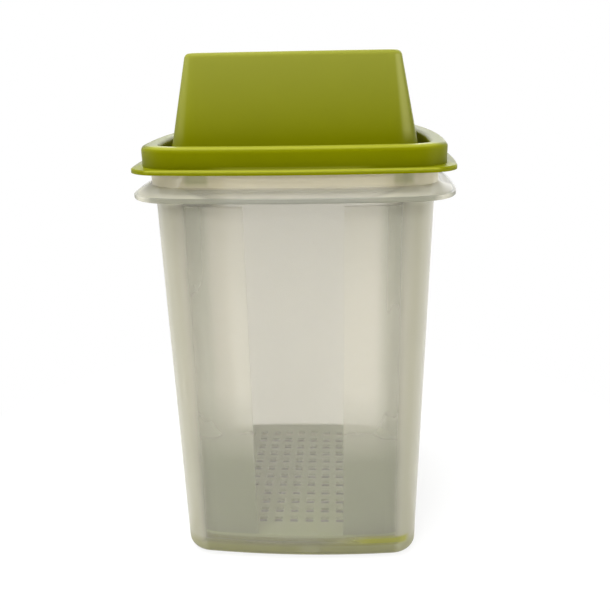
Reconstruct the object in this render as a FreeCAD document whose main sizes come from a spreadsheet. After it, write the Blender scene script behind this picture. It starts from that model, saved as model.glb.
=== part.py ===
import FreeCAD, Part
import math
import os
import Sketcher

# Square pickle keeper: a frosted container, a lift-out strainer insert and a domed press-on lid.
# Millimetres, +Z up, +X to the right, +Y away from the front. The origin is the centre of the base.

doc = FreeCAD.newDocument("pickle_keeper")
sheet = doc.addObject("Spreadsheet::Sheet", "sizes")

SIZES = [
    ("side_crown", 450, "radius of the gently convex sides of every square outline"),
    ("wall", 1.8, "container wall"),
    ("base_half", 60.1, "container, half width at the base"),
    ("base_corner", 13, "container, corner radius at the base"),
    ("side_lean", 2.1, "how far each side leans out between the base and the shelf"),
    ("base_round", 5, "rounding of the container's outer bottom edge"),
    ("foot_ring", 9, "width of the ring that the container stands on"),
    ("foot_recess", 1.2, "depth of the raised underside inside the foot ring"),
    ("shelf_level", 179.6, "underside of the shelf above the base"),
    ("shelf_overhang", 8.8, "how far the shelf stands out past the container's side"),
    ("shelf_corner", 21, "shelf, corner radius"),
    ("shelf_edge", 2, "height of the shelf's edge"),
    ("shelf_ledge", 1, "width of the flat ledge between the shelf's edge and its slope"),
    ("shelf_bevel", 0.5, "bevel of the shelf's lower edge"),
    ("shelf_slope", 3.4, "rise of the shelf's top from its ledge to the neck"),
    ("neck_step", 1.3, "neck, how far it stands out past the container's side"),
    ("neck_height", 14.5, "neck, from the top of the shelf's slope to the rim"),
    ("rim_bead", 0.9, "rolled rim, how far it stands out past the neck"),
    ("rim_bead_height", 3.4, "rolled rim, height"),
    ("lid_wall", 1.6, "lid wall"),
    ("lid_gap", 0.8, "clearance each side of the rim in the lid's channel"),
    ("lip_setback", 0.25, "how far the lid's lip stays inside the shelf's edge"),
    ("lip_corner", 16, "lid lip, corner radius"),
    ("lip_edge", 1.85, "lid lip, thickness"),
    ("lip_bevel", 0.5, "bevel of the lip's upper edge"),
    ("lid_skirt", 8.6, "how far the lid's channel reaches down past the rim"),
    ("lid_roof", 1.8, "thickness over the rim"),
    ("lid_round", 2.2, "rounding of the channel's outer top edge"),
    ("gutter_round", 1.8, "rounding of the channel's inner top edge"),
    ("gutter_depth", 11.3, "sunken gutter between channel and dome"),
    ("gutter_width", 2.6, "gutter, width of its floor"),
    ("dome_headroom", 3.5, "clearance between the handle's top and the inside of the dome"),
    ("dome_lean", 10.2, "how far each dome side leans in from the gutter floor to the top"),
    ("dome_corner", 7, "dome, corner radius at the top"),
    ("dome_round", 2.4, "rounding of the dome's top edge"),
    ("insert_wall", 1.6, "strainer wall and floor"),
    ("insert_gap", 2.2, "clearance between strainer and container side"),
    ("insert_corner", 1, "how much rounder the strainer's corners are than the container's"),
    ("foot_height", 6.5, "strainer's foot skirt, below the floor"),
    ("foot_inset", 2, "foot skirt, set in from the floor's edge"),
    ("foot_length", 26, "foot skirt, from each corner to the drain notch of that side"),
    ("notch_height", 2.5, "drain notches in the foot skirt, height"),
    ("basket_drop", 12.3, "clearance between the strainer wall's top and the lid's gutter"),
    ("slot_width", 42.6, "slot in the front of the strainer wall"),
    ("hole_size", 4.1, "drain holes, side of the square"),
    ("hole_pitch", 7.93, "drain holes, centre to centre"),
    ("hole_margin", 8, "least distance from the outermost hole centres to the floor's edge"),
    ("handle_wall", 2, "handle thickness"),
    ("handle_gap", 3.9, "clearance between the handle's arms and the inside of the dome"),
    ("handle_jog_rise", 7, "height over which the handle steps in above the strainer wall"),
    ("handle_rise", 56, "handle top above the strainer wall"),
    ("handle_corner", 9, "rounding where an arm turns into the grip"),
    ("arm_half", 36, "handle arm, half width at the strainer wall"),
    ("grip_half", 14, "handle grip, half width"),
    ("arm_taper", 28, "height over which the arm narrows"),
    ("cut_past", 1, "how far the outline that shapes the arms runs past them"),
]

for row, (alias, size, note) in enumerate(SIZES, start=1):
    sheet.set(f"A{row}", note)
    sheet.set(f"B{row}", str(size))
    sheet.setAlias(f"B{row}", alias)
doc.recompute()

START, END, CENTRE = range(1, 4)
H_AXIS, V_AXIS = range(-1, -3, -1)
ORIGIN = (H_AXIS, START)
NEAR = 0.01
SAME_EDGE = 1.0


def named(expression):
    """Turn the sizes' names in an expression into references to the sheet."""
    words = []
    word = ""
    for letter in expression + " ":
        if letter.isalnum() or letter == "_":
            word += letter
            continue
        words.append("sizes." + word if word in ALIASES else word)
        words.append(letter)
        word = ""
    return "".join(words).strip()


ALIASES = {alias for alias, size, note in SIZES}
volumes = {}


def value(expression):
    return float(sheet.evalExpression(named(expression)))


def bind(thing, prop, expression):
    """Set a property from the sheet and keep it bound to it."""
    thing.setExpression(prop, named(expression))


def new_body(label):
    body = doc.addObject("PartDesign::Body", label + "_body")
    body.Label = label
    return body


def plane(body, role):
    return next(item for item in body.Origin.OriginFeatures if item.Role == role)


def new_sketch(body, name, role, x="0", y="0", level="0"):
    """A sketch on one of the body's own planes, moved by bound offsets in that plane's axes."""
    sketch = body.newObject("Sketcher::SketchObject", name)
    sketch.AttachmentSupport = [(plane(body, role), "")]
    sketch.MapMode = "FlatFace"
    for axis, offset in (("x", x), ("y", y), ("z", level)):
        if offset != "0":
            bind(sketch, f"AttachmentOffset.Base.{axis}", offset)
    return sketch


def add_bound(sketch, name, expression, *parts):
    index = sketch.addConstraint(Sketcher.Constraint(*parts, value(expression)))
    sketch.renameConstraint(index, name)
    bind(sketch, f"Constraints.{name}", expression)


def add_square(sketch, half, corner, tag=""):
    """A closed square outline: four gently convex sides joined by four tangent corner arcs."""
    crown_now = value("side_crown")
    lift_now = value(f"side_crown - ({half})")
    corner_now = value(corner)
    reach = 2 * (crown_now - corner_now) ** 2 - lift_now ** 2
    centre_now = (math.sqrt(reach) - lift_now) / 2
    sweep = math.atan2(centre_now, centre_now + lift_now)
    sides = []
    corners = []
    for quarter in range(4):
        turn = quarter * math.pi / 2
        spin = FreeCAD.Rotation(FreeCAD.Vector(0, 0, 1), math.degrees(turn))
        side_at = spin.multVec(FreeCAD.Vector(0, lift_now, 0))
        corner_at = spin.multVec(FreeCAD.Vector(centre_now, -centre_now, 0))
        down = turn - math.pi / 2
        side = Part.Circle(side_at, FreeCAD.Vector(0, 0, 1), crown_now)
        sides.append(sketch.addGeometry(Part.ArcOfCircle(side, down - sweep, down + sweep)))
        bend = Part.Circle(corner_at, FreeCAD.Vector(0, 0, 1), corner_now)
        corners.append(sketch.addGeometry(Part.ArcOfCircle(bend, down + sweep, turn - sweep)))
    for quarter in range(4):
        side = sides[quarter]
        bend = corners[quarter]
        following = sides[(quarter + 1) % 4]
        sketch.addConstraint(Sketcher.Constraint("Tangent", side, END, bend, START))
        sketch.addConstraint(Sketcher.Constraint("Tangent", bend, END, following, START))
        axis = V_AXIS if quarter % 2 == 0 else H_AXIS
        sketch.addConstraint(Sketcher.Constraint("PointOnObject", side, CENTRE, axis))
    for other in range(1, 4):
        sketch.addConstraint(Sketcher.Constraint("Equal", sides[0], sides[other]))
        sketch.addConstraint(Sketcher.Constraint("Equal", corners[0], corners[other]))
    add_bound(sketch, f"crown{tag}", "side_crown", "Radius", sides[0])
    add_bound(sketch, f"corner{tag}", corner, "Radius", corners[0])
    lift = f"side_crown - ({half})"
    add_bound(sketch, f"front{tag}", lift, "DistanceY", *ORIGIN, sides[0], CENTRE)
    add_bound(sketch, f"right{tag}", lift, "DistanceX", sides[1], CENTRE, *ORIGIN)
    add_bound(sketch, f"back{tag}", lift, "DistanceY", sides[2], CENTRE, *ORIGIN)
    add_bound(sketch, f"left{tag}", lift, "DistanceX", *ORIGIN, sides[3], CENTRE)


def square_sketch(body, name, half, corner, level="0"):
    sketch = new_sketch(body, name, "XY_Plane", level=level)
    add_square(sketch, half, corner)
    return sketch


def add_rectangle(sketch, width, height):
    """A rectangle centred on the sketch's origin."""
    right = value(width) / 2
    top = value(height) / 2
    spots = [(-right, -top), (right, -top), (right, top), (-right, top)]
    lines = []
    for index, spot in enumerate(spots):
        following = spots[(index + 1) % 4]
        ends = [FreeCAD.Vector(*spot, 0), FreeCAD.Vector(*following, 0)]
        lines.append(sketch.addGeometry(Part.LineSegment(*ends)))
    for index, line in enumerate(lines):
        sketch.addConstraint(Sketcher.Constraint("Coincident", line, END, lines[(index + 1) % 4], START))
        kind = "Horizontal" if index % 2 == 0 else "Vertical"
        sketch.addConstraint(Sketcher.Constraint(kind, line))
    sketch.addConstraint(Sketcher.Constraint("Symmetric", lines[0], START, lines[2], START, *ORIGIN))
    add_bound(sketch, "width", width, "DistanceX", lines[0], START, lines[0], END)
    add_bound(sketch, "height", height, "DistanceY", lines[1], START, lines[1], END)


def add_polygon(sketch, points, tag, mirrored=False):
    """A closed outline through points right of the upright axis, or its mirror image left of it."""
    side = -1 if mirrored else 1
    spots = [(side * value(across), value(up)) for across, up in points]
    lines = []
    for index, spot in enumerate(spots):
        following = spots[(index + 1) % len(spots)]
        ends = [FreeCAD.Vector(*spot, 0), FreeCAD.Vector(*following, 0)]
        lines.append(sketch.addGeometry(Part.LineSegment(*ends)))
    for index, line in enumerate(lines):
        following = lines[(index + 1) % len(lines)]
        sketch.addConstraint(Sketcher.Constraint("Coincident", line, END, following, START))
    for index, (across, up) in enumerate(points):
        corner = (lines[index], START)
        pair = (*corner, *ORIGIN) if mirrored else (*ORIGIN, *corner)
        add_bound(sketch, f"{tag}across{index}", across, "DistanceX", *pair)
        add_bound(sketch, f"{tag}up{index}", up, "DistanceY", *ORIGIN, *corner)


def pad(body, name, sketch, height, lean=None):
    """Raise a sketch along its own normal. Its sides move out by the lean on the way up, or in below 0."""
    feature = body.newObject("PartDesign::Pad", name)
    feature.Profile = sketch
    bind(feature, "Length", height)
    if lean is not None:
        bind(feature, "TaperAngle", f"atan(({lean}) / ({height}))")
    return settle(body, feature, 1)


def pocket(body, name, sketch, depth=None, lean=None, reverse=False, both_ways=False):
    """Cut a sketch into the body: against its normal, along it if reversed, or through both ways."""
    feature = body.newObject("PartDesign::Pocket", name)
    feature.Profile = sketch
    if depth is None:
        feature.Type = "ThroughAll"
    else:
        bind(feature, "Length", depth)
    if lean is not None:
        bind(feature, "TaperAngle", f"atan(({lean}) / ({depth}))")
    if both_ways:
        feature.SideType = "Symmetric"
    feature.Reversed = reverse
    return settle(body, feature, -1)


def dress_edges(body, kind, size_name, name, size, wanted):
    """Put a fillet or a chamfer on the edges of the body's tip that the wanted test picks."""
    base = body.Tip
    edges = [f"Edge{i}" for i, edge in enumerate(base.Shape.Edges, start=1) if wanted(edge)]
    if not edges:
        raise RuntimeError(f"{name}: no edge to work on")
    feature = body.newObject(kind, name)
    feature.Base = (base, edges)
    bind(feature, size_name, size)
    return settle(body, feature, 0)


def round_edges(body, name, radius, wanted):
    return dress_edges(body, "PartDesign::Fillet", "Radius", name, radius, wanted)


def bevel_edges(body, name, size, wanted):
    return dress_edges(body, "PartDesign::Chamfer", "Size", name, size, wanted)


def settle(body, feature, direction):
    """Recompute and make sure that the feature did what it is for."""
    before = volumes.get(body.Name, 0.0)
    body.Tip = feature
    doc.recompute()
    if not feature.isValid() or feature.Shape.isNull():
        raise RuntimeError(f"{feature.Name} failed: {feature.State}")
    change = feature.Shape.Volume - before
    if direction * change < 0 or abs(change) < NEAR:
        raise RuntimeError(f"{feature.Name} changed nothing or the wrong way: {change:.3f}")
    volumes[body.Name] = feature.Shape.Volume
    return feature


def level_edge(level, half):
    """A test for the side edges of a square outline with this half width at a level."""
    height = value(level)
    expected = value(half)

    def wanted(edge):
        box = edge.BoundBox
        flat = abs(box.ZMin - height) < NEAR and abs(box.ZMax - height) < NEAR
        reach = max(abs(box.XMin), abs(box.XMax), abs(box.YMin), abs(box.YMax))
        return flat and abs(reach - expected) < SAME_EDGE

    return wanted


def cross_edge(level, half):
    """A test for the edges at a level that run from front to back, this far left or right of the middle."""
    at_level = level_edge(level, half)

    def wanted(edge):
        return at_level(edge) and edge.BoundBox.XLength < edge.BoundBox.YLength

    return wanted


# Levels, from the base up to the top of the lid's dome
inner_floor = "(foot_recess + wall)"
floor_under = f"({inner_floor} + foot_height)"
floor_top = f"({floor_under} + insert_wall)"
shelf_top = "(shelf_level + shelf_edge)"
neck_bottom = f"({shelf_top} + shelf_slope)"
rim_top = f"({neck_bottom} + neck_height)"
lip_bottom = f"({rim_top} - lid_skirt)"
lid_top = f"({rim_top} + lid_roof)"
gutter_floor = f"({lid_top} - gutter_depth)"
gutter_under = f"({gutter_floor} - lid_wall)"
basket_top = f"({gutter_under} - basket_drop)"
step_level = f"({basket_top} + handle_jog_rise)"
handle_top = f"({basket_top} + handle_rise)"
handle_under = f"({handle_top} - handle_wall)"
dome_under = f"({handle_top} + dome_headroom)"
dome_top = f"({dome_under} + lid_wall)"

# Half widths and corner radii, from the container's side out to the shelf and in to the dome
shoulder_half = "(base_half + side_lean)"
shoulder_corner = "(base_corner + side_lean)"
shelf_half = f"({shoulder_half} + shelf_overhang)"
neck_half = f"({shoulder_half} + neck_step)"
neck_corner = f"({shoulder_corner} + neck_step)"
rim_half = f"({neck_half} + rim_bead)"
rim_corner = f"({neck_corner} + rim_bead)"
mouth_half = f"({neck_half} - wall)"
mouth_corner = f"({neck_corner} - wall)"
channel_inner = f"({mouth_half} - lid_gap)"
channel_inner_corner = f"({mouth_corner} - lid_gap)"
channel_outer = f"({rim_half} + lid_gap)"
channel_outer_corner = f"({rim_corner} + lid_gap)"
lid_outer = f"({channel_outer} + lid_wall)"
lid_outer_corner = f"({channel_outer_corner} + lid_wall)"
gutter_outer = f"({channel_inner} - lid_wall)"
gutter_outer_corner = f"({channel_inner_corner} - lid_wall)"
dome_foot_half = f"({gutter_outer} - gutter_width)"
dome_top_half = f"({dome_foot_half} - dome_lean)"


def container_half(level):
    """The container's outer half width at a level below the shelf."""
    return f"(base_half + side_lean * {level} / shelf_level)"


def container_corner(level):
    return f"(base_corner + side_lean * {level} / shelf_level)"


def strainer_half(level):
    """The strainer's outer half width at a level."""
    return f"({container_half(level)} - wall - insert_gap)"


def strainer_corner(level):
    return f"({container_corner(level)} + insert_corner)"


def dome_inner_half(level):
    """The inner half width of the lid's dome at a level."""
    leaned = f"dome_lean * ({level} - {gutter_floor}) / ({dome_top} - {gutter_floor})"
    return f"({dome_foot_half} - {leaned} - lid_wall)"


def build_container():
    body = new_body("container")
    base = square_sketch(body, "base_outline", "base_half", "base_corner")
    pad(body, "sides", base, "shelf_level", "side_lean")
    shelf = square_sketch(body, "shelf_outline", shelf_half, "shelf_corner", "shelf_level")
    pad(body, "shelf", shelf, "shelf_edge")
    slope_half = f"({shelf_half} - shelf_ledge)"
    slope_run = f"({slope_half} - {neck_half})"
    slope = square_sketch(body, "slope_outline", slope_half, f"{neck_corner} + {slope_run}", shelf_top)
    pad(body, "shelf_slope", slope, "shelf_slope", f"-{slope_run}")
    neck = square_sketch(body, "neck_outline", neck_half, neck_corner, neck_bottom)
    pad(body, "neck", neck, "neck_height")
    bead = square_sketch(body, "bead_outline", rim_half, rim_corner, f"{rim_top} - rim_bead_height")
    pad(body, "rim", bead, "rim_bead_height")

    cavity_half = f"({container_half(inner_floor)} - wall)"
    cavity_corner = f"({container_corner(inner_floor)} - wall)"
    cavity_height = f"(shelf_level - {inner_floor})"
    cavity_lean = f"({shoulder_half} - wall - {cavity_half})"
    cavity = square_sketch(body, "cavity_outline", cavity_half, cavity_corner, inner_floor)
    pocket(body, "cavity", cavity, cavity_height, cavity_lean, reverse=True)
    flare_half = f"{shoulder_half} - wall"
    flare_corner = f"{shoulder_corner} - wall"
    flare = square_sketch(body, "flare_outline", flare_half, flare_corner, "shelf_level")
    pocket(body, "shoulder_inside", flare, f"{neck_bottom} - shelf_level", "neck_step", reverse=True)
    mouth = square_sketch(body, "mouth_outline", mouth_half, mouth_corner, rim_top)
    pocket(body, "mouth", mouth, "neck_height")

    recess = square_sketch(body, "recess_outline", "base_half - foot_ring", "base_corner")
    pocket(body, "underside", recess, "foot_recess", reverse=True)

    round_edges(body, "bottom_edge", "base_round", level_edge("0", "base_half"))
    bevel_edges(body, "inner_bottom_edge", "base_round - wall", level_edge(inner_floor, cavity_half))
    bevel_edges(body, "shelf_lower_edge", "shelf_bevel", level_edge("shelf_level", shelf_half))
    bevel_edges(body, "rim_edge", "rim_bead", level_edge(rim_top, rim_half))
    return body


def build_lid():
    body = new_body("lid")
    plug = square_sketch(body, "plug_outline", channel_inner, channel_inner_corner, gutter_under)
    pad(body, "plug", plug, f"{lid_top} - {gutter_under}")
    lip_half = f"({shelf_half} - lip_setback)"
    lip = square_sketch(body, "lip_outline", lip_half, "lip_corner", lip_bottom)
    pad(body, "lip", lip, "lip_edge")
    ring = square_sketch(body, "ring_outline", lid_outer, lid_outer_corner, lip_bottom)
    pad(body, "ring", ring, f"{lid_top} - {lip_bottom}")

    channel = new_sketch(body, "channel_outline", "XY_Plane", level=gutter_under)
    add_square(channel, channel_outer, channel_outer_corner, "_outer")
    add_square(channel, channel_inner, channel_inner_corner, "_inner")
    pocket(body, "channel", channel, f"{rim_top} - {gutter_under}", reverse=True)
    gutter = square_sketch(body, "gutter_outline", gutter_outer, gutter_outer_corner, lid_top)
    pocket(body, "gutter", gutter, "gutter_depth")

    dome_foot_corner = "dome_corner + dome_lean"
    dome = square_sketch(body, "dome_outline", dome_foot_half, dome_foot_corner, gutter_floor)
    pad(body, "dome", dome, f"{dome_top} - {gutter_floor}", "-dome_lean")
    round_edges(body, "dome_top_edge", "dome_round", level_edge(dome_top, dome_top_half))

    hollow_half = dome_inner_half(gutter_under)
    hollow_lean = f"{dome_inner_half(dome_under)} - {hollow_half}"
    hollow_corner = f"{dome_foot_corner} - lid_wall"
    hollow = square_sketch(body, "hollow_outline", hollow_half, hollow_corner, gutter_under)
    pocket(body, "dome_hollow", hollow, f"{dome_under} - {gutter_under}", hollow_lean, reverse=True)

    round_edges(body, "ring_outer_edge", "lid_round", level_edge(lid_top, lid_outer))
    round_edges(body, "ring_inner_edge", "gutter_round", level_edge(lid_top, gutter_outer))
    bevel_edges(body, "lip_upper_edge", "lip_bevel", level_edge(f"{lip_bottom} + lip_edge", lip_half))
    return body


def build_strainer_floor():
    body = new_body("strainer_floor")
    half = strainer_half(floor_top)
    corner = strainer_corner(floor_top)
    foot_half = f"({half} - foot_inset)"
    foot_corner = f"({corner} - foot_inset)"
    skirt = square_sketch(body, "skirt_outline", foot_half, foot_corner, inner_floor)
    pad(body, "foot_skirt", skirt, "foot_height")
    inside_half = f"{foot_half} - insert_wall"
    inside_corner = f"{foot_corner} - insert_wall"
    inside = square_sketch(body, "skirt_inside", inside_half, inside_corner, inner_floor)
    pocket(body, "under_floor", inside, "foot_height", reverse=True)
    outline = square_sketch(body, "floor_outline", half, corner, floor_under)
    pad(body, "floor", outline, "insert_wall")

    notch_width = f"2 * ({foot_half} - foot_length)"
    for role, name in (("XZ_Plane", "notch_front_back"), ("YZ_Plane", "notch_left_right")):
        notch = new_sketch(body, name + "_outline", role, y=f"{inner_floor} + notch_height / 2")
        add_rectangle(notch, notch_width, "notch_height")
        pocket(body, name, notch, both_ways=True)

    count = f"(floor(2 * ({half} - insert_wall - hole_margin) / hole_pitch) + 1)"
    span = f"({count} - 1) * hole_pitch"
    first = f"-{span} / 2"
    hole = new_sketch(body, "hole_outline", "XY_Plane", x=first, y=first, level=floor_top)
    add_rectangle(hole, "hole_size", "hole_size")
    first_hole = pocket(body, "hole", hole, "insert_wall")
    holes = body.newObject("PartDesign::LinearPattern", "holes")
    holes.Originals = [first_hole]
    holes.Direction = (hole, ["H_Axis"])
    holes.Direction2 = (hole, ["V_Axis"])
    bind(holes, "Length", span)
    bind(holes, "Length2", span)
    bind(holes, "Occurrences", count)
    bind(holes, "Occurrences2", count)
    settle(body, holes, -1)
    return body


def build_strainer_wall():
    body = new_body("strainer_wall")
    foot_half = strainer_half(floor_top)
    foot_corner = strainer_corner(floor_top)
    height = f"({basket_top} - {floor_top})"
    lean = f"({strainer_half(basket_top)} - {foot_half})"
    outline = square_sketch(body, "wall_outline", foot_half, foot_corner, floor_top)
    pad(body, "wall", outline, height, lean)
    inside_half = f"{foot_half} - insert_wall"
    inside_corner = f"{foot_corner} - insert_wall"
    inside = square_sketch(body, "inside_outline", inside_half, inside_corner, floor_top)
    pocket(body, "inside", inside, height, lean, reverse=True)
    slot = new_sketch(body, "slot_outline", "XZ_Plane", y=f"({floor_top} + {basket_top}) / 2")
    add_rectangle(slot, "slot_width", height)
    pocket(body, "front_slot", slot, reverse=True)
    return body


def build_lift_handle():
    body = new_body("lift_handle")
    foot_half = strainer_half(basket_top)
    foot_corner = strainer_corner(basket_top)
    step_half = f"({dome_inner_half(step_level)} - handle_gap)"
    top_half = f"({dome_inner_half(handle_top)} - handle_gap)"
    arm_height = f"({handle_top} - {step_level})"
    arm_lean = f"({top_half} - {step_half})"
    block_corner = f"(handle_wall - {arm_lean})"
    foot = square_sketch(body, "foot_outline", foot_half, foot_corner, basket_top)
    pad(body, "step", foot, "handle_jog_rise", f"{step_half} - {foot_half}")
    arms = square_sketch(body, "arms_outline", step_half, block_corner, step_level)
    pad(body, "arms", arms, arm_height, arm_lean)

    in_foot_half = f"({foot_half} - insert_wall)"
    in_step_half = f"({step_half} - handle_wall)"
    in_height = f"({handle_under} - {step_level})"
    in_lean = f"({arm_lean} * {in_height} / {arm_height})"
    in_step_lean = f"{in_step_half} - {in_foot_half}"
    in_foot = square_sketch(body, "in_foot_outline", in_foot_half, foot_corner, basket_top)
    pocket(body, "step_inside", in_foot, "handle_jog_rise", in_step_lean, reverse=True)
    in_arms = square_sketch(body, "in_arms_outline", in_step_half, block_corner, step_level)
    pocket(body, "arms_inside", in_arms, in_height, in_lean, reverse=True)

    side = new_sketch(body, "side_outline", "YZ_Plane")
    narrow_level = f"{step_level} + arm_taper"
    beyond = f"{foot_half} + cut_past"
    below = f"{basket_top} - cut_past"
    above = f"{handle_top} + cut_past"
    points = [
        ("arm_half", below),
        (beyond, below),
        (beyond, above),
        ("grip_half", above),
        ("grip_half", narrow_level),
        ("arm_half", step_level),
    ]
    add_polygon(side, points, "front", mirrored=True)
    add_polygon(side, points, "back")
    pocket(body, "arm_sides", side, both_ways=True)

    in_top_half = f"{in_step_half} + {in_lean}"
    inner_round = "handle_corner - handle_wall"
    round_edges(body, "grip_inner_corner", inner_round, cross_edge(handle_under, in_top_half))
    round_edges(body, "grip_corner", "handle_corner", cross_edge(handle_top, top_half))
    return body


def check(bodies):
    """Stop if anything in the document failed or a piece is not one sound solid."""
    for item in doc.Objects:
        if "Invalid" in item.State or "Error" in item.State:
            raise RuntimeError(f"{item.Label}: {item.State}")
    for body in bodies:
        shape = body.Shape
        if shape.isNull() or not shape.isValid() or len(shape.Solids) != 1:
            raise RuntimeError(f"{body.Label}: not one valid solid")


bodies = [
    build_container(),
    build_lid(),
    build_strainer_floor(),
    build_strainer_wall(),
    build_lift_handle(),
]
doc.recompute()
check(bodies)
os.makedirs("parts", exist_ok=True)
for body in bodies:
    body.Shape.exportStep(f"parts/{body.Label}.step")
    box = body.Shape.BoundBox
    print(f"{body.Label}: {body.Shape.Volume:.0f} mm3, z {box.ZMin:.2f} to {box.ZMax:.2f}")
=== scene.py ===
import bpy
from math import atan2, cos, pi, sin, sqrt
from mathutils import Matrix, Vector


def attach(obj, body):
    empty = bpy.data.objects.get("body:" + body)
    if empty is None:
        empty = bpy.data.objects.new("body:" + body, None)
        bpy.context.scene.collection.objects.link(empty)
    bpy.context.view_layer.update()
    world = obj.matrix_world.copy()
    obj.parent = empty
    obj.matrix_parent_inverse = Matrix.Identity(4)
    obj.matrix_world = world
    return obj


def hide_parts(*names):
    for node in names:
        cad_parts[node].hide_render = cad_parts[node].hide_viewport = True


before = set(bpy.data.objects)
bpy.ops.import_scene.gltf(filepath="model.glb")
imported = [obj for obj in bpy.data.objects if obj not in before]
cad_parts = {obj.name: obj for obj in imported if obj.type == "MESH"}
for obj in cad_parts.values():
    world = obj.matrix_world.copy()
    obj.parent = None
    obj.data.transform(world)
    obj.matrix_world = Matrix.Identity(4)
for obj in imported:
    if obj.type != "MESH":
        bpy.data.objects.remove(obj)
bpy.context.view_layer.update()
print("frame loaded:", ", ".join(sorted(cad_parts)))


class Wire:
    # a node socket that can stand in sums, differences, products and quotients
    def __init__(self, bench, socket):
        self.bench = bench
        self.socket = socket

    def math(self, operation, left, right):
        made = self.bench.node("ShaderNodeMath", {"operation": operation}, {0: left, 1: right})
        return made[0]

    def __add__(self, other):
        return self.math("ADD", self, other)

    def __radd__(self, other):
        return self.math("ADD", other, self)

    def __sub__(self, other):
        return self.math("SUBTRACT", self, other)

    def __rsub__(self, other):
        return self.math("SUBTRACT", other, self)

    def __mul__(self, other):
        return self.math("MULTIPLY", self, other)

    def __rmul__(self, other):
        return self.math("MULTIPLY", other, self)

    def __truediv__(self, other):
        return self.math("DIVIDE", self, other)

    def __rtruediv__(self, other):
        return self.math("DIVIDE", other, self)


class Bench:
    # one node tree, of a material, the world or a shape, filled node by node
    def __init__(self, tree):
        self.tree = tree
        tree.nodes.clear()

    def node(self, kind, settings=None, sockets=None):
        made = self.tree.nodes.new(kind)
        for key, value in (settings or {}).items():
            setattr(made, key, value)
        for key, value in (sockets or {}).items():
            for part in value if isinstance(value, list) else [value]:
                if isinstance(part, Wire):
                    self.tree.links.new(part.socket, made.inputs[key])
                else:
                    made.inputs[key].default_value = part
        return [Wire(self, socket) for socket in made.outputs]

    def outputs(self, kind):
        # a node's outputs by their names
        return {wire.socket.name: wire for wire in self.node(kind)}

    def noise(self, where, size, detail, rough, warp=0.0):
        # size is the width of a patch in metres
        values = {
            "Vector": where,
            "Scale": 1.0 / size,
            "Detail": detail,
            "Roughness": rough,
            "Distortion": warp,
        }
        return self.node("ShaderNodeTexNoise", None, values)[0]

    def stretch(self, where, scale):
        return self.node("ShaderNodeMapping", None, {"Vector": where, "Scale": scale})[0]

    def spread(self, value, low, high, bottom=0.0, top=1.0):
        # bottom at low and top at high, straight in between
        values = {"Value": value, "From Min": low, "From Max": high, "To Min": bottom, "To Max": top}
        return self.node("ShaderNodeMapRange", {"clamp": True}, values)[0]

    def fade(self, value, low, high):
        # 0 at low and 1 at high, with soft ends
        settings = {"clamp": True, "interpolation_type": "SMOOTHSTEP"}
        values = {"Value": value, "From Min": low, "From Max": high}
        return self.node("ShaderNodeMapRange", settings, values)[0]

    def band(self, value, start, full, last, end):
        # 1 from full to last and 0 outside start and end
        return self.spread(value, start, full) * self.spread(value, end, last)

    def softBand(self, value, start, full, last, end):
        return self.fade(value, start, full) * self.fade(value, end, last)

    def blend(self, share, first, second):
        # 6 and 7 are the mix node's two colours, and 2 is the colour it gives
        settings = {"data_type": "RGBA", "blend_type": "MIX", "clamp_factor": True}
        return self.node("ShaderNodeMix", settings, {0: share, 6: first, 7: second})[2]

    def size(self, value):
        return self.node("ShaderNodeMath", {"operation": "ABSOLUTE"}, {0: value})[0]

    def reach(self, across, deep):
        # how far a place is from the upright axis
        flat = self.node("ShaderNodeCombineXYZ", None, {"X": across, "Y": deep})[0]
        return self.length(flat)

    def length(self, vector):
        return self.node("ShaderNodeVectorMath", {"operation": "LENGTH"}, {0: vector})[1]

    def above(self, value, limit):
        # 1 where the value is over the limit, else 0
        return self.node("ShaderNodeMath", {"operation": "GREATER_THAN"}, {0: value, 1: limit})[0]

    def most(self, first, second):
        return self.node("ShaderNodeMath", {"operation": "MAXIMUM"}, {0: first, 1: second})[0]

    def bump(self, height, distance, strength):
        values = {"Height": height, "Distance": distance, "Strength": strength}
        return self.node("ShaderNodeBump", None, values)[0]


def colour(red, green, blue):
    # screen values 0 to 255 as the linear colour that a shader takes
    parts = []
    for part in (red, green, blue):
        part = part / 255
        parts.append(part / 12.92 if part <= 0.04045 else ((part + 0.055) / 1.055) ** 2.4)
    return (*parts, 1.0)


plainWhite = (1.0, 1.0, 1.0, 1.0)
plasticIndex = 1.5
# A noise is given as the width of its patches in metres, its detail, its roughness and its warp.
moulding = {
    "cloudNoise": (0.035, 4.0, 0.55, 0.4),
    "cloudRange": (0.3, 0.7),
    "flowNoise": (0.011, 3.0, 0.5),
    "flowStretch": (1.0, 1.0, 0.16),
    "grainNoise": (0.0006, 2.0, 0.6),
    "cloudTint": 0.5,
    "flowTint": 0.2,
    "grainGloss": 0.16,
    "cloudGloss": 0.06,
    "grainRelief": 0.1,
    "flowRelief": 0.5,
    "reliefDepth": 0.0001,
    "reliefStrength": 0.06,
}


def mouldedSurface(bench, finish):
    # the cloudiness, flow lines and fine grain that all the frosted mouldings share
    place = bench.outputs("ShaderNodeTexCoord")["Object"]
    cloud = bench.spread(bench.noise(place, *moulding["cloudNoise"]), *moulding["cloudRange"])
    flow = bench.noise(bench.stretch(place, moulding["flowStretch"]), *moulding["flowNoise"])
    grain = bench.noise(place, *moulding["grainNoise"])
    rough = finish["roughness"] + (grain - 0.5) * moulding["grainGloss"]
    rough = rough + (cloud - 0.5) * moulding["cloudGloss"]
    relief = grain * moulding["grainRelief"] + flow * moulding["flowRelief"]
    relief = bench.bump(relief, moulding["reliefDepth"], moulding["reliefStrength"])
    return place, cloud, flow, rough, relief


def bodyTint(bench, finish, cloud, flow):
    share = cloud * moulding["cloudTint"] + flow * moulding["flowTint"]
    return bench.blend(share, finish["body"], finish["cloudy"])


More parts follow.
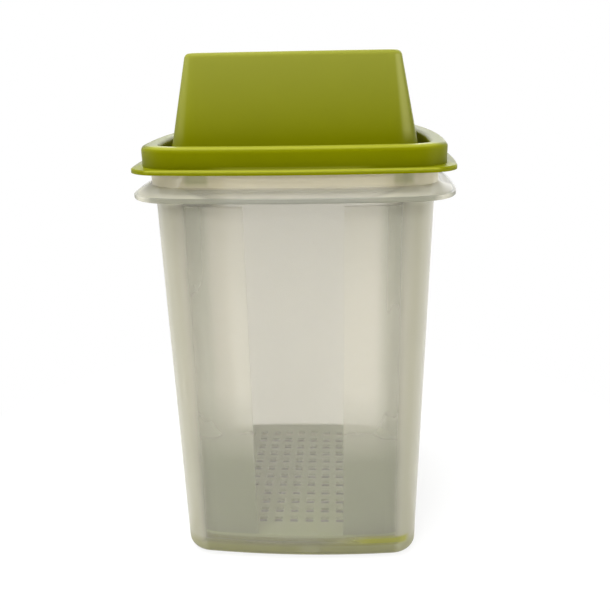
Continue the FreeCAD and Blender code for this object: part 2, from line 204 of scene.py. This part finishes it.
def unevenOpacity(finish, cloud, flow):
    byCloud, byFlow = finish["uneven"]
    return finish["opacity"] + (cloud - 0.5) * byCloud + (flow - 0.5) * byFlow


def frostedShader(bench, finish, tint, opacity, rough, relief, dull):
    # a satin skin over a milky body that glows with the light behind it, except where it is dull,
    # and that is seen through where it isn't opaque
    values = {
        "Base Color": tint,
        "Roughness": rough,
        "Normal": relief,
        "IOR": plasticIndex,
        "Specular IOR Level": finish["gloss"],
    }
    skin = bench.node("ShaderNodeBsdfPrincipled", None, values)[0]
    glow = bench.node("ShaderNodeBsdfTranslucent", None, {"Color": finish["glow"]})[0]
    share = (1.0 - dull) * finish["glowShare"]
    milky = bench.node("ShaderNodeMixShader", None, {0: share, 1: skin, 2: glow})[0]
    clear = bench.node("ShaderNodeBsdfTransparent", None, {"Color": plainWhite})[0]
    mixed = bench.node("ShaderNodeMixShader", None, {0: opacity, 1: clear, 2: milky})[0]
    bench.node("ShaderNodeOutputMaterial", None, {"Surface": mixed})


def newBench(name):
    made = bpy.data.materials.new(name)
    made.use_nodes = True
    return made, Bench(made.node_tree)


# In the finishes, two sizes say where a tint starts and where it is full, and four say where a band
# starts, is full, is last full and ends, unless a note says otherwise.
containerFinish = {
    "body": colour(226, 221, 207),
    "cloudy": colour(215, 213, 199),
    # painted shade on the rounded upright corners, which are also made more opaque
    "corner": colour(136, 134, 112),
    # painted light: the neck lighter and warmer than the body, making up for the lid's shade
    "neck": colour(243, 232, 200),
    "armShade": colour(212, 209, 168),  # painted shade where the handle's arms show through the neck
    "shelf": colour(204, 201, 184),
    "foot": colour(108, 108, 34),
    "yellowStreak": colour(148, 147, 70),  # the yellow streak low at the right
    "plate": colour(62, 74, 42),  # the upper face of the bottom, painted dark as the shade under the strainer's floor
    "edge": colour(130, 131, 119),  # painted shade on the shelf's lower edge
    "glow": colour(230, 225, 208),
    "glowShare": 0.35,
    "opacity": 0.2,
    "cornerOpacity": 0.82,
    "collarOpacity": 0.48,
    "shelfOpacity": 0.74,
    "footOpacity": 0.82,
    "yellowStreakOpacity": 0.6,
    "plateOpacity": 0.75,
    "gloss": 0.25,
    "uneven": (0.02, 0.02),  # how far clouds and flow lines change the opacity
    "frontDepth": (-0.045, -0.055),
    "cornerStart": 0.0735,
    "cornerWidth": (0.0028, 0.014),  # at the base, and what each metre of height adds
    "cornerShadeShare": 0.8,
    "cornerDull": 0.6,
    "collarCornerLoss": 0.3,
    "collarCornerOpacity": 0.2,
    "shelfCornerLoss": 0.85,
    "footCornerLoss": 0.4,
    "collar": (0.176, 0.186),
    "footHeight": (0.0108, 0.0066),
    "yellowStreakAcross": (0.002, 0.036, 0.0515, 0.055),
    "yellowStreakHeight": (0.0068, 0.0092, 0.0112, 0.0132),
    "shadeHeight": (0.1848, 0.187),
    "leftShade": (-0.0447, -0.0425, -0.0355, -0.0333),
    "rightShade": (0.0403, 0.0425, 0.0482, 0.0504),
    "shelfReach": (0.0635, 0.066),
    "shelfHeight": (0.1848, 0.1838),
    "edgeHeight": (0.18175, 0.1816),
    "plateHeight": (0.0026, 0.0028, 0.0031, 0.0033),
    "plateReach": (0.056, 0.0545),
    "roughness": 0.36,
}


def containerMaterial(finish):
    made, bench = newBench("frosted container")
    place, cloud, flow, rough, relief = mouldedSurface(bench, finish)
    across, deep, height = bench.node("ShaderNodeSeparateXYZ", None, {"Vector": place})
    width, growth = finish["cornerWidth"]
    corner = (bench.reach(across, deep) - finish["cornerStart"]) / (width + height * growth)
    corner = bench.fade(corner, 0.0, 1.0)
    front = bench.spread(deep, *finish["frontDepth"])
    shade = bench.softBand(across, *finish["leftShade"])
    shade = bench.most(shade, bench.softBand(across, *finish["rightShade"]))
    shade = shade * front * bench.spread(height, *finish["shadeHeight"])
    yellowStreak = front * bench.softBand(across, *finish["yellowStreakAcross"])
    yellowStreak = yellowStreak * bench.softBand(height, *finish["yellowStreakHeight"])
    across = bench.size(across)
    deep = bench.size(deep)
    shelf = bench.spread(bench.most(across, deep), *finish["shelfReach"])
    edge = shelf * bench.spread(height, *finish["edgeHeight"])
    shelf = bench.most(shelf, bench.spread(height, *finish["shelfHeight"]))
    plate = bench.band(height, *finish["plateHeight"])
    plate = plate * bench.spread(bench.most(across, deep), *finish["plateReach"])
    collar = bench.spread(height, *finish["collar"])
    neck = collar * (1.0 - shelf)
    shelf = collar * shelf
    foot = bench.spread(height, *finish["footHeight"])

    tint = bodyTint(bench, finish, cloud, flow)
    # painted light on the neck
    tint = bench.blend(neck, tint, finish["neck"])
    tint = bench.blend(neck * shade, tint, finish["armShade"])
    tint = bench.blend(shelf, tint, finish["shelf"])
    # painted shade on the shelf's lower edge
    tint = bench.blend(edge, tint, finish["edge"])
    # painted shade in the corners, less on the collar and the shelf
    share = corner * (finish["cornerShadeShare"] - collar * finish["collarCornerLoss"])
    tint = bench.blend(share * (1.0 - shelf * finish["shelfCornerLoss"]), tint, finish["corner"])
    tint = bench.blend(foot * (1.0 - corner * finish["footCornerLoss"]), tint, finish["foot"])
    tint = bench.blend(yellowStreak, tint, finish["yellowStreak"])
    # painted shade on the bottom under the strainer's floor
    tint = bench.blend(plate, tint, finish["plate"])
    opacity = unevenOpacity(finish, cloud, flow)
    opacity = opacity + corner * (finish["cornerOpacity"] - finish["opacity"])
    opacity = bench.most(opacity, collar * (finish["collarOpacity"] + corner * finish["collarCornerOpacity"]))
    opacity = bench.most(opacity, bench.most(shelf, edge) * finish["shelfOpacity"])
    opacity = bench.most(opacity, foot * finish["footOpacity"])
    opacity = bench.most(opacity, yellowStreak * finish["yellowStreakOpacity"])
    opacity = bench.most(opacity, plate * finish["plateOpacity"])
    dull = bench.most(bench.most(plate, edge), bench.most(corner * finish["cornerDull"], neck))
    dull = bench.most(dull, yellowStreak)
    frostedShader(bench, finish, tint, opacity, rough, relief, dull)
    return made


strainerFinish = {
    "body": colour(232, 228, 216),
    "cloudy": colour(221, 220, 208),
    # painted shade: the side walls darker, as seen edge-on
    "side": colour(150, 148, 126),
    # painted shade on the side walls' middle and rear
    "shadedFlank": colour(74, 82, 66),
    # painted shade in upright bands by the front corners, stronger higher up
    "shadedShoulder": colour(146, 151, 130),
    # painted shade, dark green low down at the front and on the sides
    "low": colour(92, 102, 68),
    # painted shade on the arms, which stand under the lid
    "arms": colour(88, 98, 74),
    "glow": colour(232, 228, 214),
    "glowShare": 0.35,
    "opacity": 0.42,
    "sideOpacity": 0.74,
    "flankOpacity": 0.88,
    "lowOpacity": 0.72,
    "armsOpacity": 0.92,
    "uneven": (0.04, 0.05),
    "gloss": 0.2,
    "sides": (0.045, 0.053),
    "sideShadeShare": 0.85,
    "flankDepth": (-0.034, -0.012, 0.04, 0.05),
    "flankTint": 0.9,
    "shoulders": (0.034, 0.041, 0.047, 0.052),
    "shoulderDepth": (-0.03, -0.045),
    "shoulderRise": (0.05, 0.17, 0.45, 1.0),  # two heights and the shares there
    "shoulderTint": 0.85,
    "shoulderDull": 0.6,
    "lowHeight": (0.09, 0.052),
    "lowDepth": (0.0, -0.03),
    "lowDull": 0.6,
    "armsHeight": (0.1755, 0.1765),
    "roughness": 0.42,
}


def strainerMaterial(finish):
    made, bench = newBench("frosted strainer")
    place, cloud, flow, rough, relief = mouldedSurface(bench, finish)
    across, deep, height = bench.node("ShaderNodeSeparateXYZ", None, {"Vector": place})
    side = bench.spread(bench.size(across), *finish["sides"])
    shadedFlank = side * bench.band(deep, *finish["flankDepth"])
    shadedShoulder = bench.softBand(bench.size(across), *finish["shoulders"])
    shadedShoulder = shadedShoulder * bench.spread(deep, *finish["shoulderDepth"])
    shadedShoulder = shadedShoulder * bench.spread(height, *finish["shoulderRise"])
    low = bench.most(bench.spread(deep, *finish["lowDepth"]), side)
    low = low * bench.spread(height, *finish["lowHeight"])
    arms = bench.spread(height, *finish["armsHeight"])

    tint = bodyTint(bench, finish, cloud, flow)
    # painted shade: the side walls, their flanks, the shoulders, the low front and the arms under the lid are
    # darker
    tint = bench.blend(side * finish["sideShadeShare"], tint, finish["side"])
    tint = bench.blend(shadedFlank * finish["flankTint"], tint, finish["shadedFlank"])
    tint = bench.blend(shadedShoulder * finish["shoulderTint"], tint, finish["shadedShoulder"])
    # painted shade low down
    tint = bench.blend(low, tint, finish["low"])
    tint = bench.blend(arms, tint, finish["arms"])
    opacity = unevenOpacity(finish, cloud, flow)
    opacity = bench.most(opacity, side * finish["sideOpacity"])
    opacity = bench.most(opacity, shadedFlank * finish["flankOpacity"])
    opacity = bench.most(opacity, low * finish["lowOpacity"])
    opacity = bench.most(opacity, arms * finish["armsOpacity"])
    dull = bench.most(shadedFlank, shadedShoulder * finish["shoulderDull"])
    dull = bench.most(dull, low * finish["lowDull"])
    frostedShader(bench, finish, tint, opacity, rough, relief, dull)
    return made


strainerFloorFinish = {
    "body": colour(152, 161, 126),
    "front": colour(138, 147, 94),
    "skirt": colour(106, 110, 26),
    "skirtHeight": (0.0098, 0.0088),
    "glow": colour(170, 175, 145),
    "glowShare": 0.2,
    "opacity": 0.8,
    "skirtOpacity": 0.15,
    "uneven": (0.06, 0.04),
    "frontDepth": (0.04, -0.055),
    "frontTint": 0.8,
    "cloudTint": 0.3,
    "gloss": 0.2,
    "roughness": 0.45,
}


def strainerFloorMaterial(finish):
    made, bench = newBench("frosted strainer floor")
    place, cloud, flow, rough, relief = mouldedSurface(bench, finish)
    deep, height = bench.node("ShaderNodeSeparateXYZ", None, {"Vector": place})[1:]
    front = bench.spread(deep, *finish["frontDepth"])
    skirt = bench.spread(height, *finish["skirtHeight"])
    share = front * finish["frontTint"] + (cloud - 0.5) * finish["cloudTint"]
    tint = bench.blend(share, finish["body"], finish["front"])
    tint = bench.blend(skirt, tint, finish["skirt"])
    opacity = unevenOpacity(finish, cloud, flow) + skirt * finish["skirtOpacity"]
    frostedShader(bench, finish, tint, opacity, rough, relief, skirt)
    return made


lidFinish = {
    "olive": colour(106, 110, 0),
    "pale": colour(112, 116, 0),
    # scuffs, and a painted sheen that makes the dome paler towards its top
    "scuffAndSheen": colour(148, 150, 76),
    # painted highlight on the ring and lip tops at the front
    "rims": colour(156, 158, 56),
    "haze": colour(94, 98, 62),
    # painted highlight on the dome's front corners
    "cornerHighlight": colour(172, 172, 104),
    "cloudNoise": (0.03, 4.0, 0.55, 0.3),
    "cloudRange": (0.3, 0.72),
    "paleTint": 0.55,
    "scuffNoise": (0.006, 6.0, 0.72),
    "scuffStretch": (1.0, 1.0, 2.6),
    "scuffRange": (0.66, 0.8),
    "scuffTint": 0.14,
    "frontDepth": (-0.05, -0.061),
    "rimHighlightShare": 0.5,
    "hazeTint": 0.85,
    "cornerHighlightTurn": (0.4, 0.49),  # how far the surface has to face a front corner
    "cornerHighlightHeight": (0.2015, 0.206),
    "cornerHighlightSides": (-0.2, 0.2, 0.35, 1.0),  # two turns, left and right, and the shares there
    "cornerHighlightShare": 0.4,
    "rimReach": (0.0562, 0.0572),
    "ringHeight": (0.2002, 0.2008),
    "lipReach": (0.0655, 0.0661),
    "lipHeight": (0.1915, 0.1922, 0.1932, 0.1939),
    "glow": colour(196, 190, 0),
    "glowShare": 0.2,
    "sheen": colour(255, 246, 120),
    "topSheenHeight": (0.203, 0.244),
    "topSheen": 0.45,
    "roughness": 0.4,
    "gloss": 0.06,
    "grainNoise": (0.0007, 2.0, 0.6),
    "grainGloss": 0.14,
    "cloudGloss": 0.08,
    "scuffGloss": 0.1,
    "cloudRelief": 0.4,
    "reliefDepth": 0.0001,
    "reliefStrength": 0.4,
}


def lidMaterial(finish):
    made, bench = newBench("olive lid")
    coordinates = bench.outputs("ShaderNodeTexCoord")
    place = coordinates["Object"]
    cloud = bench.noise(place, *finish["cloudNoise"])
    grain = bench.noise(place, *finish["grainNoise"])
    scuff = bench.noise(bench.stretch(place, finish["scuffStretch"]), *finish["scuffNoise"])
    scuff = bench.spread(scuff, *finish["scuffRange"])

    share = bench.spread(cloud, *finish["cloudRange"]) * finish["paleTint"]
    tint = bench.blend(share, finish["olive"], finish["pale"])
    across, deep, height = bench.node("ShaderNodeSeparateXYZ", None, {"Vector": place})
    out = bench.most(bench.size(across), bench.size(deep))
    ring = bench.spread(out, *finish["rimReach"]) * bench.spread(height, *finish["ringHeight"])
    lip = bench.spread(out, *finish["lipReach"]) * bench.band(height, *finish["lipHeight"])
    rims = bench.most(ring, lip)
    # painted sheen, paler towards the dome's top
    topSheen = bench.spread(height, *finish["topSheenHeight"]) * finish["topSheen"]
    tint = bench.blend(scuff * finish["scuffTint"] + topSheen, tint, finish["scuffAndSheen"])
    front = bench.fade(deep, *finish["frontDepth"])
    # painted highlight on the ring and lip tops at the front
    tint = bench.blend(rims * front * finish["rimHighlightShare"], tint, finish["rims"])
    tint = bench.blend(rims * (1.0 - front) * finish["hazeTint"], tint, finish["haze"])
    # painted highlight on the dome's front corners, told by which way the surface faces
    acrossTurn, deepTurn = bench.node("ShaderNodeSeparateXYZ", None, {"Vector": coordinates["Normal"]})[:2]
    cornerHighlight = bench.fade(bench.size(acrossTurn) * deepTurn * -1.0, *finish["cornerHighlightTurn"])
    cornerHighlight = cornerHighlight * bench.spread(height, *finish["cornerHighlightHeight"])
    cornerHighlight = cornerHighlight * bench.spread(acrossTurn, *finish["cornerHighlightSides"])
    tint = bench.blend(cornerHighlight * finish["cornerHighlightShare"], tint, finish["cornerHighlight"])
    rough = finish["roughness"] + (grain - 0.5) * finish["grainGloss"] + (cloud - 0.5) * finish["cloudGloss"]
    rough = rough + scuff * finish["scuffGloss"]
    relief = grain + cloud * finish["cloudRelief"]
    relief = bench.bump(relief, finish["reliefDepth"], finish["reliefStrength"])

    values = {
        "Base Color": tint,
        "Roughness": rough,
        "Normal": relief,
        "IOR": plasticIndex,
        "Specular IOR Level": finish["gloss"],
        "Specular Tint": finish["sheen"],
    }
    skin = bench.node("ShaderNodeBsdfPrincipled", None, values)[0]
    glow = bench.node("ShaderNodeBsdfTranslucent", None, {"Color": finish["glow"]})[0]
    mixed = bench.node("ShaderNodeMixShader", None, {0: finish["glowShare"], 1: skin, 2: glow})[0]
    bench.node("ShaderNodeOutputMaterial", None, {"Surface": mixed})
    return made


def wear(node, material):
    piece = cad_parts[node]
    piece.data.materials.clear()
    piece.data.materials.append(material)


frostedStrainer = strainerMaterial(strainerFinish)
wear("container", containerMaterial(containerFinish))
wear("strainer_wall", frostedStrainer)
wear("lift_handle", frostedStrainer)
wear("lid", lidMaterial(lidFinish))
print("finishes made")

strainerFloor = {
    "crown": 0.45,  # the radius of the gently convex sides
    "half": 0.05623,  # half the plate's width
    "corner": 0.01413,
    "skirtInset": 0.002,
    "skirtWall": 0.0016,
    "foot": 0.003,  # the level that the skirt stands on
    "underside": 0.0095,  # the level of the plate's lower face
    "thickness": 0.0016,
    "holeSize": 0.0041,
    "holePitch": 0.00793,
    "holesASide": 12,
    "notchWidth": 0.05646,
    "notchHeight": 0.0025,
    "cutPast": 0.001,  # how far a cut starts outside the piece
    "cutLength": 1.0,  # more than the piece's width
    "weld": 0.000001,  # points closer than this become one
    "sharpAngle": 0.6,
    "sideSteps": 16,
    "cornerSteps": 10,
}


def squareLoop(half, corner):
    # a square outline with gently convex sides and tangent corner arcs
    crown = strainerFloor["crown"]
    lift = crown - half
    centre = (sqrt(2 * (crown - corner) ** 2 - lift ** 2) - lift) / 2
    sweep = atan2(centre, centre + lift)
    points = []
    for quarter in range(4):
        turn = quarter * pi / 2
        for radius, middle, start, end, steps in (
            (crown, (0.0, lift), -pi / 2 - sweep, -pi / 2 + sweep, strainerFloor["sideSteps"]),
            (corner, (centre, -centre), -pi / 2 + sweep, -sweep, strainerFloor["cornerSteps"]),
        ):
            for step in range(steps):
                angle = start + (end - start) * step / steps
                across = middle[0] + radius * cos(angle)
                deep = middle[1] + radius * sin(angle)
                turned = (across * cos(turn) - deep * sin(turn), across * sin(turn) + deep * cos(turn))
                points.append(turned)
    return points


def loopMesh(loops):
    points = []
    edges = []
    for level, loop in loops:
        first = len(points)
        count = len(loop)
        points += [(across, deep, level) for across, deep in loop]
        edges += [(first + step, first + (step + 1) % count) for step in range(count)]
    mesh = bpy.data.meshes.new("floor outlines")
    mesh.from_pydata(points, edges, [])
    return mesh


def slab(bench, outlines, level, thickness):
    # flat outlines, holes among them, made a closed slab that stands on a level
    flat = bench.node("GeometryNodeFillCurve", {"mode": "NGONS"}, {"Curve": outlines})[0]
    up = bench.node("ShaderNodeCombineXYZ", None, {"Z": thickness})[0]
    values = {"Mesh": flat, "Offset": up, "Individual": False}
    raised = bench.node("GeometryNodeExtrudeMesh", {"mode": "FACES"}, values)[0]
    under = bench.node("GeometryNodeFlipFaces", None, {"Mesh": flat})[0]
    closed = bench.node("GeometryNodeJoinGeometry", None, {"Geometry": [raised, under]})[0]
    values = {"Geometry": closed, "Distance": strainerFloor["weld"]}
    closed = bench.node("GeometryNodeMergeByDistance", None, values)[0]
    place = bench.node("ShaderNodeCombineXYZ", None, {"Z": level})[0]
    return bench.node("GeometryNodeTransform", None, {"Geometry": closed, "Translation": place})[0]


def perforatedFloorTree():
    tree = bpy.data.node_groups.new("perforated floor", "GeometryNodeTree")
    bench = Bench(tree)
    tree.interface.new_socket("Geometry", in_out="OUTPUT", socket_type="NodeSocketGeometry")
    names = {}
    for name, kind in (
        ("outlines", "Geometry"),
        ("foot", "Float"),
        ("underside", "Float"),
        ("thickness", "Float"),
        ("holeSize", "Float"),
        ("holePitch", "Float"),
        ("holesASide", "Int"),
        ("notchWidth", "Float"),
        ("notchHeight", "Float"),
        ("cutPast", "Float"),
        ("cutLength", "Float"),
        ("material", "Material"),
    ):
        socket = tree.interface.new_socket(name, in_out="INPUT", socket_type="NodeSocket" + kind)
        names[name] = socket.identifier
    given = dict(zip(names, bench.node("NodeGroupInput")))
    underside, foot, past = given["underside"], given["foot"], given["cutPast"]

    # the outline at the plate's level is its rim, and the two at the foot's level are the skirt's
    place = bench.node("GeometryNodeInputPosition")[0]
    height = bench.node("ShaderNodeSeparateXYZ", None, {"Vector": place})[2]
    upper = bench.above(height, foot + past)
    lines = {"Mesh": given["outlines"], "Selection": upper}
    rim = bench.node("GeometryNodeMeshToCurve", None, lines)[0]
    lines = {"Mesh": given["outlines"], "Selection": 1.0 - upper}
    skirtLines = bench.node("GeometryNodeMeshToCurve", None, lines)[0]

    count = given["holesASide"]
    span = (count - 1.0) * given["holePitch"]
    grid = {"Size X": span, "Size Y": span, "Vertices X": count, "Vertices Y": count}
    spots = bench.node("GeometryNodeMeshGrid", None, grid)[0]
    square = {"Width": given["holeSize"], "Height": given["holeSize"]}
    hole = bench.node("GeometryNodeCurvePrimitiveQuadrilateral", {"mode": "RECTANGLE"}, square)[0]
    holes = bench.node("GeometryNodeInstanceOnPoints", None, {"Points": spots, "Instance": hole})[0]
    holes = bench.node("GeometryNodeRealizeInstances", None, {"Geometry": holes})[0]
    plateLines = bench.node("GeometryNodeJoinGeometry", None, {"Geometry": [rim, holes]})[0]
    plate = slab(bench, plateLines, underside, given["thickness"])
    skirt = slab(bench, skirtLines, foot, underside - foot + given["thickness"] * 0.5)
    settings = {"operation": "UNION", "solver": "EXACT"}
    whole = bench.node("GeometryNodeMeshBoolean", settings, {"Mesh 2": [plate, skirt]})[0]

    tall = given["notchHeight"] + past
    middle = bench.node("ShaderNodeCombineXYZ", None, {"Z": foot - past + tall * 0.5})[0]
    cuts = []
    for wide, deep in ((given["notchWidth"], given["cutLength"]), (given["cutLength"], given["notchWidth"])):
        size = bench.node("ShaderNodeCombineXYZ", None, {"X": wide, "Y": deep, "Z": tall})[0]
        block = bench.node("GeometryNodeMeshCube", None, {"Size": size})[0]
        cuts.append(bench.node("GeometryNodeTransform", None, {"Geometry": block, "Translation": middle})[0])
    settings = {"operation": "DIFFERENCE", "solver": "EXACT"}
    notched = bench.node("GeometryNodeMeshBoolean", settings, {"Mesh 1": whole, "Mesh 2": cuts})[0]
    plain = bench.node("GeometryNodeRealizeInstances", None, {"Geometry": notched})[0]
    values = {"Geometry": plain, "Material": given["material"]}
    dressed = bench.node("GeometryNodeSetMaterial", None, values)[0]
    bench.node("NodeGroupOutput", None, {"Geometry": dressed})
    return tree, names


def makeStrainerFloor(material):
    inset, wall = strainerFloor["skirtInset"], strainerFloor["skirtWall"]
    half, corner = strainerFloor["half"], strainerFloor["corner"]
    piece = bpy.data.objects.new("perforatedFloor", loopMesh((
        (strainerFloor["underside"], squareLoop(half, corner)),
        (strainerFloor["foot"], squareLoop(half - inset, corner - inset)),
        (strainerFloor["foot"], squareLoop(half - inset - wall, corner - inset - wall)),
    )))
    bpy.context.scene.collection.objects.link(piece)
    tree, names = perforatedFloorTree()
    modifier = piece.modifiers.new("perforated floor", "NODES")
    modifier.node_group = tree
    for name, identifier in names.items():
        if name in strainerFloor:
            modifier[identifier] = strainerFloor[name]
    modifier[names["material"]] = material
    ready = piece.evaluated_get(bpy.context.evaluated_depsgraph_get())
    mesh = bpy.data.meshes.new_from_object(ready)
    piece.modifiers.remove(modifier)
    mesh.materials.clear()
    mesh.materials.append(material)
    mesh.polygons.foreach_set("material_index", [0] * len(mesh.polygons))
    mesh.shade_smooth()
    mesh.set_sharp_from_angle(angle=strainerFloor["sharpAngle"])
    piece.data = mesh
    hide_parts("strainer_floor")
    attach(piece, "strainer")


makeStrainerFloor(strainerFloorMaterial(strainerFloorFinish))
print("perforated floor made")

studio = {
    "floorSize": 6.0,
    "floorColour": (0.8, 0.8, 0.79, 1.0),
    "floorWhite": 0.8,  # how white the floor shows under the piece
    "whiteFrom": (0.07, 0.24),  # how far out it turns to plain white
    "worldLight": 0.38,
    "clearLayers": 32,  # how many see-through surfaces a ray may pass
    "lamps": {
        "overhead": {"size": (1.3, 1.0), "power": 31.0, "at": (-0.3, -0.1, 1.3), "aim": (0.0, 0.0, 0.1)},
        "front": {"size": (0.7, 0.45), "power": 11.0, "at": (-0.45, -1.35, 1.1), "aim": (0.0, 0.0, 0.12)},
        "back": {"size": (1.2, 1.0), "power": 10.0, "at": (0.1, 1.3, 0.6), "aim": (0.0, 0.0, 0.12)},
        "right": {"size": (0.35, 1.1), "power": 9.0, "at": (1.15, -0.15, 0.5), "aim": (0.0, 0.0, 0.14)},
        "left": {"size": (0.5, 1.0), "power": 2.5, "at": (-1.2, 0.1, 0.5), "aim": (0.0, 0.0, 0.14)},
    },
}


def seen(bench):
    # 1 for rays that show the background: to the camera, in gloss and through clear pieces
    ray = bench.outputs("ShaderNodeLightPath")
    ways = ray["Is Camera Ray"] + ray["Is Glossy Ray"] + ray["Is Transmission Ray"]
    return bench.node("ShaderNodeClamp", None, {"Value": ways})[0]


def makeFloor():
    half = studio["floorSize"] / 2
    mesh = bpy.data.meshes.new("floor")
    corners = [(-half, -half, 0), (half, -half, 0), (half, half, 0), (-half, half, 0)]
    mesh.from_pydata(corners, [], [(0, 1, 2, 3)])
    floor = bpy.data.objects.new("floor", mesh)
    bpy.context.scene.collection.objects.link(floor)
    made, bench = newBench("pale floor")
    matt = bench.node("ShaderNodeBsdfDiffuse", None, {"Color": studio["floorColour"]})[0]
    white = bench.node("ShaderNodeEmission", None, {"Color": plainWhite, "Strength": 1.0})[0]
    away = bench.length(bench.outputs("ShaderNodeTexCoord")["Object"])
    share = seen(bench) * bench.spread(away, *studio["whiteFrom"], studio["floorWhite"], 1.0)
    mixed = bench.node("ShaderNodeMixShader", None, {0: share, 1: matt, 2: white})[0]
    bench.node("ShaderNodeOutputMaterial", None, {"Surface": mixed})
    mesh.materials.append(made)


def makeWorld():
    world = bpy.data.worlds.new("studio")
    bpy.context.scene.world = world
    world.use_nodes = True
    bench = Bench(world.node_tree)
    soft = {"Color": plainWhite, "Strength": studio["worldLight"]}
    white = {"Color": plainWhite, "Strength": 1.0}
    lit = bench.node("ShaderNodeBackground", None, soft)[0]
    shown = bench.node("ShaderNodeBackground", None, white)[0]
    mixed = bench.node("ShaderNodeMixShader", None, {0: seen(bench), 1: lit, 2: shown})[0]
    bench.node("ShaderNodeOutputWorld", None, {"Surface": mixed})


def aimed(place, target):
    away = Vector(place) - Vector(target)
    return away.to_track_quat("Z", "Y").to_matrix().to_4x4()


def makeLamps():
    for name, lamp in studio["lamps"].items():
        light = bpy.data.lights.new(name, "AREA")
        light.shape = "RECTANGLE"
        light.size, light.size_y = lamp["size"]
        light.energy = lamp["power"]
        holder = bpy.data.objects.new(name, light)
        holder.matrix_world = Matrix.Translation(lamp["at"]) @ aimed(lamp["at"], lamp["aim"])
        bpy.context.scene.collection.objects.link(holder)


view = {
    "place": (0.01726, -0.33046, 0.22681),
    "yaw": -0.047318,
    "pitch": 0.330794,
    "roll": 0.017374,
    "lens": 39.03,
    "sensor": 36.0,
    "nearest": 0.01,
}


def cameraAxes(yaw, pitch, roll):
    # the camera's right, up and backward directions
    ahead = (sin(yaw) * cos(pitch), cos(yaw) * cos(pitch), -sin(pitch))
    side = (cos(yaw), -sin(yaw), 0.0)
    down = (
        ahead[1] * side[2] - ahead[2] * side[1],
        ahead[2] * side[0] - ahead[0] * side[2],
        ahead[0] * side[1] - ahead[1] * side[0],
    )
    right = [cos(roll) * s + sin(roll) * d for s, d in zip(side, down)]
    low = [-sin(roll) * s + cos(roll) * d for s, d in zip(side, down)]
    return right, [-part for part in low], [-part for part in ahead]


def makeCamera():
    data = bpy.data.cameras.new("camera")
    data.sensor_width = view["sensor"]
    data.lens = view["lens"]
    data.clip_start = view["nearest"]
    camera = bpy.data.objects.new("camera", data)
    axes = cameraAxes(view["yaw"], view["pitch"], view["roll"])
    turn = Matrix(axes).transposed().to_4x4()
    camera.matrix_world = Matrix.Translation(view["place"]) @ turn
    bpy.context.scene.collection.objects.link(camera)
    bpy.context.scene.camera = camera


makeFloor()
makeWorld()
makeLamps()
makeCamera()
bpy.context.scene.view_settings.view_transform = "Standard"
bpy.context.scene.cycles.transparent_max_bounces = studio["clearLayers"]
print("studio set")
